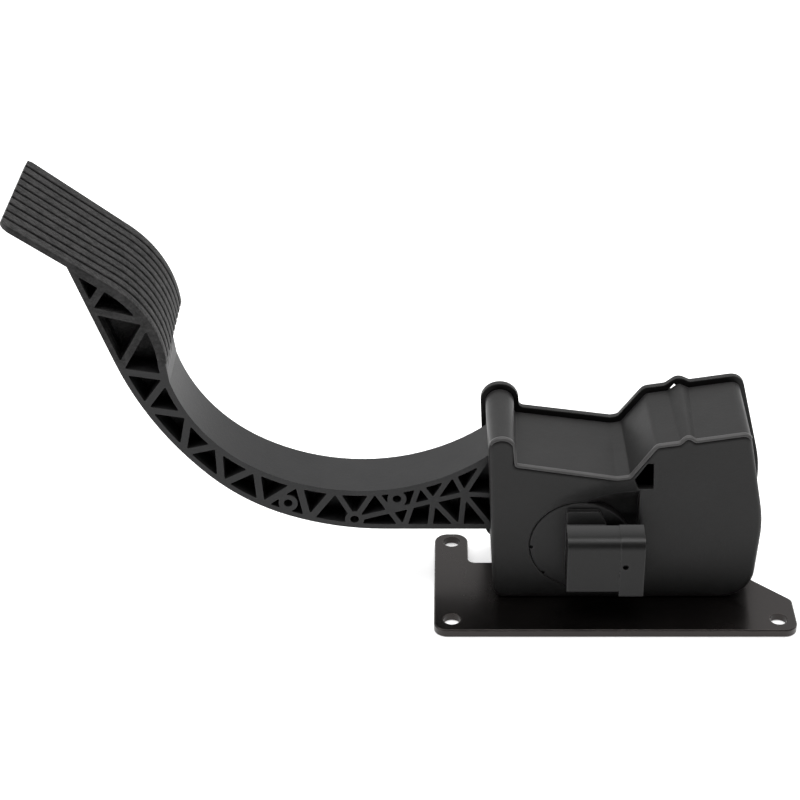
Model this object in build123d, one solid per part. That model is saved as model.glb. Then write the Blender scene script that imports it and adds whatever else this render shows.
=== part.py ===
from build123d import *
import os
from math import atan, cos, degrees, hypot, radians, sin, sqrt, tan

# Electronic accelerator pedal: a lattice arm with a ribbed tread pad turns on a shaft in a
# moulded housing that stands on a steel plate. A round sensor with a plug socket reads the angle.
# +X runs along the plate away from the pad, +Y from the sensor side to the back cover, +Z off the
# mounting face. The origin is midway between the two front bolt holes, on the mounting face.
# All lengths are millimetres and all angles degrees.

# Clearances
running_gap = 0.3          # between pieces that move past each other
shaft_gap = 0.03           # radial, shaft in its bushes and hub
seat_gap = 0.1             # between pieces that are fitted together
screw_gap = 0.05           # radial, round a screw's shank
slot_room = 1.2            # round the arm in the housing's side opening
tip_room = 0.5             # beyond a screw's tip
weld = 0.4                 # how far forms of one moulding run into each other
overcut = 1.0              # how far a cut runs past the face that it opens

# Mounting plate
plate_thickness = 3.2
bolt_spacing_x = 133.35
bolt_spacing_y = 54.0
bolt_hole_diameter = 7.14
plate_margin_side = 7.3
plate_margin_front = 7.5
plate_margin_rear = 6.0
plate_corner_radius = 5.5
plate_tab_width = 14.2
plate_notch_width = 13.8
plate_notch_depth = 20.8
plate_notch_radius = 3.0
plate_clip_start = 20.5    # front edge to the start of the clipped corner
plate_clip_across = 17.9
plate_clip_back = 16.7
plate_edge_round = 0.4

# Housing shell, heights above the plate
housing_front = 14.0       # depth of the front face
housing_depth = 42.5
housing_wall = 3.0
housing_edge_round = 2.0
smallest_round = 0.3       # left on a corner that shrinks as its outline is moved
post_left = -52.4
post_width = 10.8
post_arch = 0.96           # share of the half width that rounds the arch
post_drop = 1.8            # the arch falls this much towards the back
post_spread = 0.6          # and widens this much to each side
post_foot_height = 65.3
post_foot_round = 1.5
foot_inset = 2.9           # the left side leans in towards the plate
foot_round = 5.0
roof_slope = 9.0
valley_x = -0.6
valley_length = 5.1
valley_round = 4.0
valley_rise = 1.0          # the valley climbs this much towards the back
ramp_angle = 56.0
ramp_height = 14.7
ramp_shift = 1.1           # the ramp moves this much to the left towards the back
ramp_foot_round = 1.2
ramp_top_round = 3.0
chamber_tilt = 9.1
chamber_right = 51.1
chamber_round = 3.5
side_height = 38.0         # where the right side is widest
side_lean = 10.8           # lean of the right side above that height
side_tuck = 3.5            # and below it
side_round = 60.0
side_spread = 2.4          # the right side widens this much towards the back
ridge_x = 26.5             # small ridge along the chamber's top
ridge_height = 2.9
ridge_half_front = 3.0
ridge_half_rear = 4.4
ridge_round = 2.3
ridge_foot_round = 0.6
lower_corner_front = 14.0
lower_corner_rear = 6.0
joint_groove_width = 1.2   # shadow groove where the shell meets the back cover
joint_groove_depth = 1.0
cup_wall = 2.5             # round the sensor's seat
pedestal_lip = 2.0         # depth that the full-travel stop sits in its pedestal

# Back cover
cover_thickness = 2.8
cover_rim = 2.0            # how far the rim stands out past the shell
cover_rim_round = 2.5      # least corner radius of the rim
cover_edge_round = 0.6
cover_boss_radius = 11.5
cover_boss_proud = 0.7
cover_panel_depth = 0.8
cover_panel_margin = 7.0
cover_head_margin = 1.2    # flat left round a screw's head
latch_inset = 1.8          # latch slot in the rim, from the ridge
latch_length = 3.5
latch_width = 2.3
latch_angle = 52.0

# Pivot, placed from the origin and the plate's top
pivot_x = -14.3
pivot_height = 27.1
pedal_travel = 15.0
shaft_radius = 5.0
shaft_overhang = 3.2
shaft_chamfer = 0.5
bush_wall = 3.0
bush_flange_radius = 10.0
bush_flange_thickness = 0.8
clip_radius = 7.6
clip_thickness = 1.0
clip_groove_depth = 0.8
clip_mouth = 7.0

# Arm, with places given from the pivot
arm_front = 26.0           # depth of the arm's front face
arm_width = 24.0
arm_web = 4.0
chord_thickness = 2.3
rib_thickness = 2.9
star_rib_thickness = 2.2
cell_round = 0.4
smallest_cell = 1.0        # area of a lattice cell that is still opened
dip_x = -89.5              # lowest point of the top chord
dip_height = 18.3
dip_radius = 86.2
heel_radius = 68.2
heel_blend = 242.0
heel_end = 190.0
belly_x = -80.3            # lowest point of the bottom chord
belly_height = -0.5
belly_radius = 116.0
belly_turn = 19.6          # slope of the underside where the belly's arc ends
calf_radius = 86.0
calf_turn = 44.3
shin_radius = 138.0
shin_angle = 70.9
hub_radius = 15.0
hub_rim = 6.0              # solid ring left round the hub
hub_proud = 0.4
nose_x = -36.2
nose_length = 5.3
nose_drop = 3.4
boss_radius = 3.9
boss_hole_radius = 1.8
heel_ramp_turn = 6.0       # angle that the ramp behind the tread takes up
heel_ramp_lead = 1.0
heel_ramp_sink = 1.5

# Tread pad, with the tip's place given from the pivot
pad_tip_x = -221.7
pad_tip_height = 139.8
pad_slope = 35.0
pad_flat = 47.0
pad_curl_radius = 45.0
pad_curl = 52.0
pad_thickness = 2.3
pad_width_tip = 57.0
pad_width_heel = 51.0
pad_corner_radius = 4.0
tread_ridges = 10
tread_height = 0.9
tread_groove = 1.3
tread_round = 0.4
gusset_reach = 20.0
gusset_depth = 8.0
gusset_thickness = 2.4
gusset_stations = (44.0, 57.0, 70.0)

# Return springs and their seats
seat_x = 51.8              # centre of the lower seat, from the pivot
seat_height = -10.1
seat_radius = 11.8
seat_flange = 1.6
seat_spigot = 4.0
seat_margin = 1.0
stub_radius = 2.8
stub_length = 4.0
lever_width = 20.0
lever_thickness = 5.0
lever_neck_length = 6.0
lever_neck_rise = 4.0
outer_coil_radius = 9.6
outer_wire = 2.3
outer_turns = 7
inner_coil_radius = 6.2
inner_wire = 1.7
inner_turns = 9

# Rubber stops
idle_pad_width = 22.0
idle_pad_height = 3.45
full_pad_x = -21.7         # centre, from the pivot
full_pad_length = 8.0
full_pad_width = 18.0
full_pad_height = 8.0

# Position sensor
sensor_radius = 20.6
sensor_flange = 3.0
sensor_proud = 0.5         # the cover stands out past the housing's face
sensor_edge_round = 0.4
sensor_gap = 0.35          # radial, shadow gap round the cover
sensor_wall = 1.6
sensor_cup_radius = 17.3
sensor_cup_depth = 7.6
sensor_cup_wall = 3.5
sensor_floor = 2.5
seal_wire = 1.5
stake_radius = 0.9
stake_angles = (182.0, 222.0)
board_thickness = 1.2
chip_size = 3.2
chip_thickness = 0.8
magnet_radius = 5.0
magnet_thickness = 2.0
magnet_air_gap = 0.6
rotor_radius = 9.0
rotor_back = 1.3
tongue_width = 3.0
tongue_length = 3.0
tongue_inset = 1.0         # from the shaft's outside

# Plug socket on the sensor, with places given from the pivot
socket_left = -6.1
socket_length = 31.1
socket_collar = 9.9
collar_proud = 0.4
socket_bottom = -13.4
socket_height = 24.8
socket_lip = 2.0
lip_round = 1.0
socket_stand_off = 2.5     # housing face to the back of the socket
socket_depth = 12.1
socket_wall = 2.2
socket_bore_length = 18.5
socket_round = 4.0
neck_length = 13.0
neck_rise = 6.5
neck_flare = 3.0
neck_round = 1.0
pip_radius = 1.2
pip_inset = 2.2            # from the collar's edge
pip_rise = 0.6             # above the socket's middle
pin_count = 6
pin_pitch = 3.0
pin_width = 1.0
pin_reach = 12.0
pin_tail = 0.3

# Front face recess and window
scoop_length = 24.0        # from the deepest place to the left end
scoop_rise = 11.0          # and to the upper end
scoop_depth = 5.0
scoop_right = 23.0         # deepest place and right end, from the pivot
scoop_height = 15.5
window_left = 6.4
window_width = 7.6
window_height = 12.2
window_bottom = 54.4
window_sill_inset = 1.6
window_lean = 0.4
window_top_width = 3.0
window_shoulder = 4.4      # height of the left corner above the sill
window_round = 0.5

# Fasteners
cover_screw_radius = 2.0
cover_screw_length = 16.0
cover_head_radius = 3.8
cover_head_height = 2.2
cover_boss_wall = 2.0
boss_sink = 0.6            # how far a screw boss runs into the walls beside it
recess_length = 4.2
recess_width = 0.9
plate_screw_radius = 2.5
plate_screw_length = 14.0
plate_head_radius = 4.6
plate_socket_radius = 2.0
insert_wall = 0.8
insert_length = 10.0
insert_boss_wall = 1.4
plate_screw_x = 34.0
plate_screw_inset = 7.2    # from the front face and from the back cover


def chord_centres():
    """Centres of the two arcs of the top chord, from the pivot."""
    dip = (dip_x, dip_height + dip_radius)
    step = dip_radius - heel_radius
    blend = radians(heel_blend)
    return dip, (dip[0] + step * cos(blend), dip[1] + step * sin(blend))


def nose_height():
    """Height of the top chord at the nose, from the pivot."""
    dip, _ = chord_centres()
    return dip[1] - sqrt(dip_radius**2 - (nose_x - dip[0]) ** 2)


# Depths and heights that follow from the sizes above
plate_top = plate_thickness
pivot_z = plate_top + pivot_height
joint_y = housing_front + housing_depth
cover_back = joint_y + cover_thickness
arm_back = arm_front + arm_width
arm_middle = arm_front + arm_width / 2
cavity_front = housing_front + housing_wall
cavity_floor = plate_top + housing_wall
bush_radius = shaft_radius + bush_wall
hub_front = arm_front - hub_proud
hub_back = arm_back + hub_proud
front_flange_y = hub_front - running_gap - bush_flange_thickness
rear_flange_y = hub_back + running_gap
sensor_floor_y = front_flange_y - sensor_floor
sensor_back_y = housing_front + sensor_cup_depth
pressed = radians(pedal_travel)
stop_bottom = pivot_height + nose_height() + running_gap
post_height = stop_bottom + idle_pad_height + post_width / 2 + housing_wall + post_drop


def depth_plane(y, x=0.0, z=0.0):
    """Drawing plane at depth y: its first axis is +X and its second axis +Z."""
    return Plane(origin=(x, y, z), x_dir=(1, 0, 0), z_dir=(0, -1, 0))


def slab(drawing, front, back, x=0.0, z=0.0):
    """Extrudes an X-Z drawing from depth front to depth back."""
    return extrude(depth_plane(back, x, z) * drawing, amount=back - front)


def pivot_slab(drawing, front, back):
    """Extrudes a drawing made round the pivot."""
    return slab(drawing, front, back, pivot_x, pivot_z)


def pivot_bar(radius, front, back):
    """Round bar on the pivot axis."""
    return pivot_slab(Circle(radius), front, back)


def bar(x, z, radius, front, back):
    """Round bar along Y at a place in the X-Z plane."""
    return slab(Circle(radius), front, back, x, z)


def block(x, y, z):
    """Box between the two ends given for each axis."""
    size = [high - low for low, high in (x, y, z)]
    middle = [(high + low) / 2 for low, high in (x, y, z)]
    return Pos(*middle) * Box(*size)


def rounded_face(corners):
    """Face inside an outline of (x, z, corner radius) corners."""
    points = [(x, z) for x, z, _ in corners]
    radii = [radius for _, _, radius in corners]
    return make_face(FilletPolyline(*points, radius=radii, close=True))


def grown(corners, amount, least_round=smallest_round):
    """Moves every side of a counter-clockwise outline outwards by amount."""
    moved = []
    for i, (x, z, radius) in enumerate(corners):
        x_last, z_last, _ = corners[i - 1]
        x_next, z_next, _ = corners[(i + 1) % len(corners)]
        length_in = hypot(x - x_last, z - z_last)
        length_out = hypot(x_next - x, z_next - z)
        in_x, in_z = (x - x_last) / length_in, (z - z_last) / length_in
        out_x, out_z = (x_next - x) / length_out, (z_next - z) / length_out
        share = amount / (1 + in_x * out_x + in_z * out_z)
        turn = in_x * out_z - in_z * out_x
        new_radius = radius + amount if turn > 0 else radius - amount
        moved.append((x + share * (in_z + out_z), z - share * (in_x + out_x), max(new_radius, least_round)))
    return moved


def shell_corners(share):
    """Outline of the shell: share is 0 at the front face and 1 at the back cover."""
    post = share * post_spread
    half_ridge = ridge_half_front + share * (ridge_half_rear - ridge_half_front)
    lower_corner = lower_corner_front + share * (lower_corner_rear - lower_corner_front)
    slope = tan(radians(roof_slope))
    top_z = plate_top + post_height - share * post_drop
    post_right = post_left + post_width
    post_foot_z = plate_top + post_foot_height
    valley_z = post_foot_z - (valley_x - post_right) * slope
    ramp_x = valley_x + valley_length
    ramp_z = valley_z + valley_length * slope
    ramp_top_x = ramp_x + ramp_height / tan(radians(ramp_angle))
    rise = share * valley_rise
    shift = share * ramp_shift

    def chamber_z(x):
        return ramp_z + ramp_height + (x - ramp_top_x) * tan(radians(chamber_tilt))

    side_z = plate_top + side_height
    side_x = chamber_right + (chamber_z(chamber_right) - side_z) * tan(radians(side_lean))
    side_x += share * side_spread
    side_foot_x = side_x - side_height * tan(radians(side_tuck))
    # The arch's rounding stops short of the rounding that the cover's rim has at the post's foot
    arch_room = top_z - post_foot_z - cover_rim - cover_rim_round - smallest_round
    arch = min((post_width / 2 + post) * post_arch, arch_room)
    return [
        (post_left + foot_inset - post, plate_top, foot_round),
        (side_foot_x, plate_top, lower_corner),
        (side_x, side_z, side_round),
        (chamber_right, chamber_z(chamber_right), chamber_round),
        (ridge_x + half_ridge, chamber_z(ridge_x + half_ridge), ridge_foot_round),
        (ridge_x, chamber_z(ridge_x) + ridge_height, ridge_round),
        (ridge_x - half_ridge, chamber_z(ridge_x - half_ridge), ridge_foot_round),
        (ramp_top_x - shift, chamber_z(ramp_top_x - shift), ramp_top_round),
        (ramp_x - shift, ramp_z + rise, ramp_foot_round),
        (valley_x, valley_z + rise, valley_round),
        (post_right + post, post_foot_z, post_foot_round),
        (post_right + post, top_z, arch),
        (post_left - post, top_z, arch),
    ]


def shell_loft(amount, front, back):
    """Solid between the shell's front and back outlines, both grown by amount."""
    drawings = [grown(shell_corners(share), amount) for share in (0.0, 1.0)]
    front_face = depth_plane(front) * rounded_face(drawings[0])
    back_face = depth_plane(back) * rounded_face(drawings[1])
    return loft([front_face, back_face], ruled=True)


# Roof of the spring chamber, as a line in the X-Z plane
roof_corners = shell_corners(0.0)
roof_left_x, roof_left_z, _ = roof_corners[7]


def roof_outside(x):
    """Height of the chamber's roof at x, without its ridge."""
    return roof_left_z + (x - roof_left_x) * tan(radians(chamber_tilt))


def roof_inside(x):
    """Height of the chamber's inner roof at x."""
    return roof_outside(x) - housing_wall / cos(radians(chamber_tilt))


# Spring axis: from the lever's seat up to the chamber's roof, square to both
seat_point = (pivot_x + seat_x, pivot_z + seat_height)
axis_x, axis_z = -sin(radians(chamber_tilt)), cos(radians(chamber_tilt))
spring_room = (roof_inside(seat_point[0]) - seat_point[1]) * cos(radians(chamber_tilt))


def spring_plane(along):
    """Plane square to the spring axis, at a distance along it from the lever."""
    origin = (seat_point[0] + along * axis_x, arm_middle, seat_point[1] + along * axis_z)
    return Plane(origin=origin, x_dir=(0, 1, 0), z_dir=(axis_x, 0, axis_z))


# Places of the fasteners
cover_boss_radius_outer = cover_screw_radius + cover_boss_wall
lower_right_x, _, _ = roof_corners[1]
corner_reach = (lower_corner_front - housing_wall - cover_boss_radius_outer + boss_sink) / sqrt(2)
boss_inset = housing_wall + cover_boss_radius_outer - boss_sink
upper_right_x = chamber_right - boss_inset
cover_screw_places = [
    (post_left + foot_inset + boss_inset, plate_top + boss_inset),
    (lower_right_x - lower_corner_front + corner_reach, plate_top + lower_corner_front - corner_reach),
    (upper_right_x, roof_outside(upper_right_x) - boss_inset),
    (valley_x + valley_length / 3, roof_corners[9][1] - boss_inset),
]
plate_screw_places = [
    (x, y)
    for x in (-plate_screw_x, plate_screw_x)
    for y in (housing_front + plate_screw_inset, joint_y - plate_screw_inset + housing_wall)
]
insert_radius = plate_screw_radius + screw_gap + insert_wall


def make_mounting_plate():
    """Flat plate with three bolt holes, countersunk holes for the housing, a notch and a clip."""
    left = -bolt_spacing_x / 2 - plate_margin_side
    right = -left
    front = -plate_margin_front
    rear = bolt_spacing_y + plate_margin_rear
    notch_left = left + plate_tab_width
    notch_right = notch_left + plate_notch_width
    notch_front = rear - plate_notch_depth
    clip_front = front + plate_clip_start
    outline = rounded_face([
        (left, front, plate_corner_radius),
        (right, front, plate_corner_radius),
        (right, clip_front, plate_notch_radius),
        (right - plate_clip_across, clip_front + plate_clip_back, plate_notch_radius),
        (right - plate_clip_across, rear, plate_notch_radius),
        (notch_right, rear, plate_notch_radius),
        (notch_right, notch_front, plate_notch_radius),
        (notch_left, notch_front, plate_notch_radius),
        (notch_left, rear, plate_corner_radius),
        (left, rear, plate_corner_radius),
    ])
    plate = extrude(outline, amount=plate_thickness)
    plate = chamfer(plate.faces().sort_by(Axis.Z)[-1].edges(), plate_edge_round)
    hole = Cylinder(bolt_hole_diameter / 2, 3 * plate_thickness)
    bolt_places = [
        (-bolt_spacing_x / 2, 0),
        (bolt_spacing_x / 2, 0),
        (-bolt_spacing_x / 2, bolt_spacing_y),
    ]
    for x, y in bolt_places:
        plate -= Pos(x, y) * hole
    for x, y in plate_screw_places:
        plate -= Pos(x, y) * plate_screw(screw_gap)
    return plate


def plate_screw(gap=0.0):
    """Countersunk screw from the mounting face up, or with a gap the space that it needs."""
    radius = plate_screw_radius + gap
    head_height = plate_head_radius - plate_screw_radius
    head = Cone(plate_head_radius + gap, radius, head_height, align=(Align.CENTER, Align.CENTER, Align.MIN))
    shank = Cylinder(radius, plate_screw_length, align=(Align.CENTER, Align.CENTER, Align.MIN))
    return head + shank


def make_plate_screws():
    """The four countersunk screws under the plate, each with a hexagon socket."""
    socket = extrude(RegularPolygon(plate_socket_radius, 6), amount=plate_socket_radius)
    screw = plate_screw() - socket
    return [Pos(x, y) * screw for x, y in plate_screw_places]


def make_threaded_inserts():
    """Brass sleeves moulded into the housing's floor bosses."""
    outside = Cylinder(insert_radius, insert_length, align=(Align.CENTER, Align.CENTER, Align.MIN))
    bore = Cylinder(plate_screw_radius + screw_gap, 3 * insert_length)
    sleeve = outside - bore
    return [Pos(x, y, plate_top) * sleeve for x, y in plate_screw_places]


def make_front_housing():
    """Shell with its post, roof and chamber, the sensor seat, bosses, recess, window and arm slot."""
    outside = shell_loft(0.0, housing_front, joint_y)
    rim_edges = outside.faces().sort_by(Axis.Y)[0].edges()
    outside = fillet(rim_edges, housing_edge_round)
    shell = outside - shell_loft(-housing_wall, cavity_front, joint_y)

    # Cup that carries the sensor and the front bush, and the back of the scooped recess
    inside_parts = pivot_bar(sensor_radius + sensor_gap + cup_wall, cavity_front - overcut, front_flange_y)
    inside_parts += scoop_shape(housing_wall)
    # Bosses for the cover's screws and the plate's screws
    for x, z in cover_screw_places:
        inside_parts += bar(x, z, cover_boss_radius_outer, cavity_front - overcut, joint_y)
    insert_boss = Cylinder(
        insert_radius + insert_boss_wall,
        plate_screw_length + insert_boss_wall - plate_top,
        align=(Align.CENTER, Align.CENTER, Align.MIN),
    )
    for x, y in plate_screw_places:
        inside_parts += Pos(x, y, plate_top) * insert_boss
    # Pedestal under the full-travel stop
    pad_x = pivot_x + full_pad_x
    inside_parts += block(
        (pad_x - full_pad_length / 2 - housing_wall, pad_x + full_pad_length / 2 + housing_wall),
        (arm_middle - full_pad_width / 2 - housing_wall, arm_middle + full_pad_width / 2 + housing_wall),
        (plate_top, full_pad_bottom() + pedestal_lip),
    )
    middle = housing_wall / 2
    shell += inside_parts & shell_loft(-middle, housing_front + middle, joint_y)

    shell -= pivot_bar(sensor_radius + sensor_gap, housing_front - overcut, housing_front + sensor_flange)
    shell -= pivot_bar(sensor_cup_radius + seat_gap, housing_front, sensor_floor_y)
    shell -= pivot_bar(bush_radius + seat_gap, housing_front, front_flange_y + overcut)
    shell -= scoop_shape(0.0)
    for x, z in cover_screw_places:
        shell -= bar(x, z, cover_screw_radius + screw_gap, joint_y - cover_screw_length, joint_y + overcut)
    for x, y in plate_screw_places:
        shell -= Pos(x, y, plate_top) * Cylinder(
            insert_radius + screw_gap, insert_length, align=(Align.CENTER, Align.CENTER, Align.MIN)
        )
        shell -= Pos(x, y, 0) * Cylinder(
            plate_screw_radius + screw_gap,
            plate_screw_length + tip_room,
            align=(Align.CENTER, Align.CENTER, Align.MIN),
        )
    shell -= full_pad_shape(seat_gap)
    shell -= window_cutter()
    shell -= arm_slot()
    rear_edge = rounded_face(grown(shell_corners(1.0), cover_rim, cover_rim_round))
    rear_edge -= rounded_face(grown(shell_corners(1.0), -joint_groove_depth))
    return shell - slab(rear_edge, joint_y - joint_groove_width, joint_y + overcut)


def scoop_shape(wall):
    """Recess that sinks softly to the right, above the plug socket, or with a wall its back."""
    long_radius = (scoop_length**2 + scoop_depth**2) / (2 * scoop_depth)
    short_radius = (scoop_rise**2 + scoop_depth**2) / (2 * scoop_depth)
    x = pivot_x + scoop_right
    z = pivot_z + scoop_height
    ring = Torus(long_radius - short_radius, short_radius + wall)
    limit = block(
        (x - 2 * scoop_length, x + wall),
        (housing_front - overcut, joint_y),
        (z - 2 * scoop_rise, z + 2 * scoop_rise),
    )
    return Pos(x, housing_front + scoop_depth - long_radius, z) * ring & limit


def window_cutter():
    """Five-sided window under the foot of the ramp."""
    left = window_left
    right = window_left + window_width
    bottom = plate_top + window_bottom
    top = bottom + window_height
    outline = rounded_face([
        (left + window_sill_inset, bottom, window_round),
        (right, bottom, window_round),
        (right - window_lean, top, window_round),
        (right - window_top_width, top, window_round),
        (left - window_lean, bottom + window_shoulder, window_round),
    ])
    return slab(outline, housing_front - overcut, cavity_front + scoop_depth + housing_wall)


def turned(x, z, angle):
    """A place given from the pivot, turned about it by an angle in radians."""
    return (x * cos(angle) - z * sin(angle), x * sin(angle) + z * cos(angle))


def arm_slot():
    """Opening in the left wall that the arm moves in."""
    wall_x = post_left - pivot_x
    _, lowest = turned(wall_x, belly_height, pressed)
    return block(
        (post_left - housing_wall, post_left + 2 * housing_wall + foot_inset),
        (arm_front - slot_room, arm_back + slot_room),
        (pivot_z + lowest - 2 * slot_room, pivot_z + nose_height() + slot_room),
    )


def nose_angle():
    """Direction of the nose from the centre of the dip's arc."""
    dip, _ = chord_centres()
    return 360.0 - degrees(atan((dip[1] - nose_height()) / (nose_x - dip[0])))


def pad_point(along, below):
    """Place on the pad's side view: distance along the tread from the tip, and depth below it."""
    slope = radians(pad_slope)
    start = min(along, pad_flat)
    x = pad_tip_x + start * cos(slope)
    z = pad_tip_height - start * sin(slope)
    if along <= pad_flat:
        return (x - below * sin(slope), z - below * cos(slope))
    centre_x = x - pad_curl_radius * sin(slope)
    centre_z = z - pad_curl_radius * cos(slope)
    heading = slope + (along - pad_flat) / pad_curl_radius
    radius = pad_curl_radius - below
    return (centre_x + radius * sin(heading), centre_z + radius * cos(heading))


pad_length = pad_flat + pad_curl_radius * radians(pad_curl)
pad_middle = pad_flat + (pad_length - pad_flat) / 2


def pad_band(top, bottom):
    """Side view of a layer of the pad between two depths below the tread."""
    top_line = Line(pad_point(0, top), pad_point(pad_flat, top))
    top_curl = ThreePointArc(
        pad_point(pad_flat, top), pad_point(pad_middle, top), pad_point(pad_length, top)
    )
    heel = Line(pad_point(pad_length, top), pad_point(pad_length, bottom))
    low_curl = ThreePointArc(
        pad_point(pad_length, bottom), pad_point(pad_middle, bottom), pad_point(pad_flat, bottom)
    )
    low_line = Line(pad_point(pad_flat, bottom), pad_point(0, bottom))
    tip = Line(pad_point(0, bottom), pad_point(0, top))
    return make_face(top_line + top_curl + heel + low_curl + low_line + tip)


# Depth of the arm's core under the tread
core_depth = tread_height + tread_height / 6


def belly_arcs():
    """Arcs of the underside from its lowest point up: centre, radius, first and last slope."""
    radii = (belly_radius, calf_radius, shin_radius)
    slopes = (0.0, belly_turn, calf_turn, shin_angle)
    x, z = belly_x, belly_height + belly_radius
    arcs = [((x, z), radii[0], slopes[0], slopes[1])]
    for i in (1, 2):
        step = radii[i - 1] - radii[i]
        heading = radians(270.0 - slopes[i])
        x, z = x + step * cos(heading), z + step * sin(heading)
        arcs.append(((x, z), radii[i], slopes[i], slopes[i + 1]))
    return arcs


shin_centre, _, _, _ = belly_arcs()[-1]
shin_direction = radians(270.0 - shin_angle)
shin_foot = (
    shin_centre[0] + shin_radius * cos(shin_direction),
    shin_centre[1] + shin_radius * sin(shin_direction),
)


def shin_top():
    """Where the shin line meets the core of the pad's flat part."""
    x_0, z_0 = pad_point(0, core_depth)
    pad_rise = -tan(radians(pad_slope))
    shin_rise = -tan(radians(shin_angle))
    x = (z_0 - shin_foot[1] - pad_rise * x_0 + shin_rise * shin_foot[0]) / (shin_rise - pad_rise)
    return (x, z_0 + pad_rise * (x - x_0))


def top_chord():
    """Upper line of the lattice: under the pad, round the heel and along the dip to the nose."""
    dip, heel = chord_centres()
    heel_point = (
        heel[0] + heel_radius * cos(radians(heel_end)),
        heel[1] + heel_radius * sin(radians(heel_end)),
    )
    under_flat = Line(shin_top(), pad_point(pad_flat, core_depth))
    under_curl = ThreePointArc(
        pad_point(pad_flat, core_depth),
        pad_point(pad_middle, core_depth),
        pad_point(pad_length, core_depth),
    )
    step = Line(pad_point(pad_length, core_depth), heel_point)
    heel_arc = CenterArc(heel, heel_radius, heel_end, heel_blend - heel_end)
    dip_arc = CenterArc(dip, dip_radius, heel_blend, nose_angle() - heel_blend)
    return [under_flat, under_curl, step, heel_arc, dip_arc]


def bottom_chord():
    """Lower line of the lattice, from the pad down the shin and along the belly to the hub."""
    shin = Line(shin_top(), shin_foot)
    arcs = [
        CenterArc(centre, radius, 270.0 - last, last - first)
        for centre, radius, first, last in reversed(belly_arcs())
    ]
    flat = Line((belly_x, belly_height), (-hub_radius, belly_height))
    return [shin, *arcs, flat]


def arm_face():
    """Side view of the arm from the pad to the hub."""
    nose_z = nose_height()
    nose_end = nose_x + nose_length
    back = Polyline(
        (nose_x, nose_z),
        (nose_end, nose_z),
        (nose_end, nose_z - nose_drop),
        (0, hub_radius),
        (0, belly_height),
        (-hub_radius, belly_height),
    )
    edges = []
    for line in top_chord() + bottom_chord():
        edges += line.edges()
    edges += back.edges()
    return make_face(edges)


# Lattice: stations along the top and bottom chords, as shares of their length from the pad's end
top_stations = (0.078, 0.179, 0.295, 0.380, 0.461, 0.544, 0.626, 0.694, 0.767, 0.851, 0.916, 0.995)
bottom_stations = (0.086, 0.201, 0.278, 0.377, 0.461, 0.536, 0.617, 0.773, 0.816, 0.866, 0.919)
zigzag_ends = 7            # ribs from the pad down to here cross from chord to chord
# Places between the chords: top station, bottom station and share of the way up
star_places = ((0.871, 0.829, 0.589), (0.928, 0.885, 0.605))
boss_places = ((0.621, 0.576, 0.351), (0.731, 0.693, 0.229), (0.807, 0.766, 0.743))


def station(lines, share):
    """Place at a share of the length of a chain of lines."""
    chain = Wire([edge for line in lines for edge in line.edges()])
    place = chain.position_at(share * chain.length, position_mode=PositionMode.LENGTH)
    return (place.X, place.Y)


def between(upper, lower, share):
    """Place between a station on the top chord and one on the bottom chord."""
    x_top, z_top = station(top_chord(), upper)
    x_low, z_low = station(bottom_chord(), lower)
    return (x_low + share * (x_top - x_low), z_low + share * (z_top - z_low))


def rib(start, end, thickness):
    """Straight rib between two places, widened by the rounding of the cells beside it."""
    length = hypot(end[0] - start[0], end[1] - start[1])
    turn = degrees(atan((end[1] - start[1]) / (end[0] - start[0]))) if end[0] != start[0] else 90.0
    middle = ((start[0] + end[0]) / 2, (start[1] + end[1]) / 2)
    return Pos(*middle) * Rot(0, 0, turn) * Rectangle(length, thickness + 2 * cell_round)


def lattice_ribs():
    """All ribs: a zigzag from the pad to the middle, then stars with a line along the middle."""
    upper = [station(top_chord(), share) for share in top_stations]
    lower = [station(bottom_chord(), share) for share in bottom_stations]
    feet = lower[zigzag_ends:]
    star, last_star = [between(*place) for place in star_places]
    boss = between(*boss_places[1])
    ribs = []
    for i in range(zigzag_ends):
        ribs.append(rib(upper[i], lower[i], rib_thickness))
        ribs.append(rib(lower[i], upper[i + 1], rib_thickness))
    crossings = [
        (upper[7], boss), (boss, upper[8]), (upper[8], feet[0]), (feet[0], upper[9]),
        (boss, star), (upper[9], star), (star, upper[10]), (upper[10], last_star),
        (last_star, upper[11]), (star, last_star), (last_star, (-hub_radius, hub_radius)),
        (star, feet[1]), (star, feet[2]), (last_star, feet[2]), (last_star, feet[3]),
    ]
    ribs += [rib(start, end, star_rib_thickness) for start, end in crossings]
    return ribs


def lattice_cells():
    """Open cells of the lattice, with rounded corners."""
    field = offset(arm_face(), -chord_thickness - cell_round)
    field -= Circle(hub_radius + hub_rim + cell_round)
    for one_rib in lattice_ribs():
        field -= one_rib
    for place in boss_places:
        field -= Pos(*between(*place)) * Circle(boss_radius + cell_round)
    return [offset(cell, cell_round) for cell in field.faces() if cell.area > smallest_cell]


def pad_width_at(x):
    """Width of the pad at a place along it, from the pivot."""
    heel_x, _ = pad_point(pad_length, 0)
    return pad_width_tip + (pad_width_heel - pad_width_tip) * (x - pad_tip_x) / (heel_x - pad_tip_x)


def pad_plan(near, far, near_radius, far_radius):
    """Upright prism over the pad between two shares of its width."""
    tip_x, _ = pad_point(0, pad_thickness)
    heel_x, _ = pad_point(pad_length, 0)
    low, high = tip_x, heel_x + tread_groove
    outline = FilletPolyline(
        (low, near * pad_width_at(low)),
        (high, near * pad_width_at(high)),
        (high, far * pad_width_at(high)),
        (low, far * pad_width_at(low)),
        radius=[near_radius, 0, 0, far_radius],
        close=True,
    )
    return extrude(make_face(outline), amount=pad_tip_height + pad_width_tip)


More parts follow.
